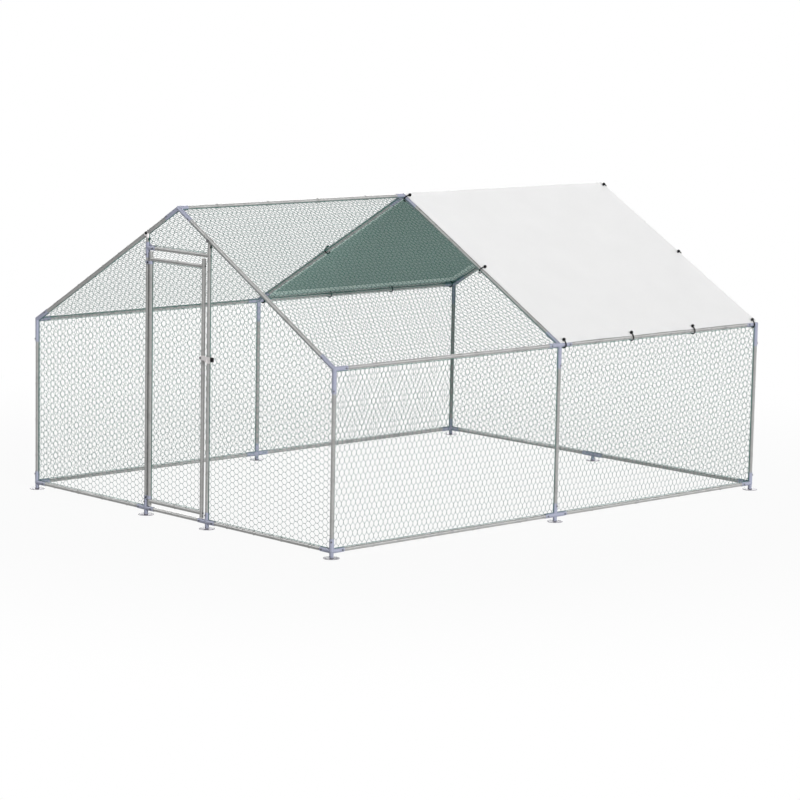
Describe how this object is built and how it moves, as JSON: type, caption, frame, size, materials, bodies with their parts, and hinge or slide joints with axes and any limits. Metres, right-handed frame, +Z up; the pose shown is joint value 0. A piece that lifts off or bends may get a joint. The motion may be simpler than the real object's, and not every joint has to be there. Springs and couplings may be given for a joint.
{
  "type": "walk-in poultry coop",
  "caption": "Walk-in poultry run with a pitched tube frame, wire netting all round, a hinged netted door with a lift latch and a sheet tied over the rear bay of the roof.",
  "frame": {"origin": "on the floor, in the middle of the footprint", "axes": "+X to the right seen from the door, +Y from the door wall to the rear wall, +Z up"},
  "size_m": [3.04, 3.95, 2.0053],
  "materials": {
    "tube": "galvanised",
    "connector": "zinc plated",
    "netting": "galvanised",
    "wire": "galvanised",
    "bolt": "zinc plated",
    "dark_bolt": "satin black",
    "plug": "matt",
    "cover": "woven, coated",
    "eyelet": "satin",
    "ball": "gloss",
    "loop": "braided",
    "grip": "matt"
  },
  "bodies": {
    "frame": {"corner_feet": "connector", "side_feet": "connector", "rear_foot": "connector", "door_feet": "connector", "eave_corners": "connector", "eave_tees": "connector", "ridge_ends": "connector", "ridge_cross": "connector", "transom_joints": "connector", "rafter_clamps": "connector", "upper_hinge_strap": "connector", "lower_hinge_strap": "connector", "latch_keeper": "connector", "front_posts": "tube", "mid_posts": "tube", "rear_posts": "tube", "front_rafters": "tube", "mid_rafters": "tube", "rear_rafters": "tube", "ridge_tubes": "tube", "left_eave_tubes": "tube", "right_eave_tubes": "tube", "left_rails": "tube", "right_rails": "tube", "front_rails": "tube", "rear_rails": "tube", "door_sill": "tube", "door_posts": "tube", "transom": "tube", "net_left_front": "netting", "net_left_rear": "netting", "net_right_front": "netting", "net_right_rear": "netting", "net_roof_left_front": "netting", "net_roof_left_rear": "netting", "net_roof_right_front": "netting", "net_roof_right_rear": "netting", "net_rear": "netting", "net_front_left": "netting", "net_front_right": "netting", "net_front_top": "netting", "net_ties": "wire", "connector_bolts": "bolt", "dark_bolts": "dark_bolt", "roof_cover": "cover", "cover_eyelets": "eyelet", "tie_balls": "ball", "tie_loops": "loop"},
    "door": {"door_left_stile": "tube", "door_right_stile": "tube", "door_top_rail": "tube", "door_bottom_rail": "tube", "net_door": "netting", "door_net_ties": "wire", "door_rail_plugs": "plug", "door_bolts": "dark_bolt", "latch_collar": "connector", "latch_pivot_bolt": "bolt"},
    "latch": {"latch_bar": "connector", "latch_grip": "grip"}
  },
  "joints": [
    {"name": "door_swing", "type": "hinge", "parent": "frame", "child": "door", "pos_m": [-0.271, -1.925, 0.9], "axis": [0, 0, -1], "range_deg": [0, 110]},
    {"name": "latch_lift", "type": "hinge", "parent": "door", "child": "latch", "pos_m": [0.251, -1.945, 1.074], "axis": [0, -1, 0], "range_deg": [0, 105]}
  ]
}
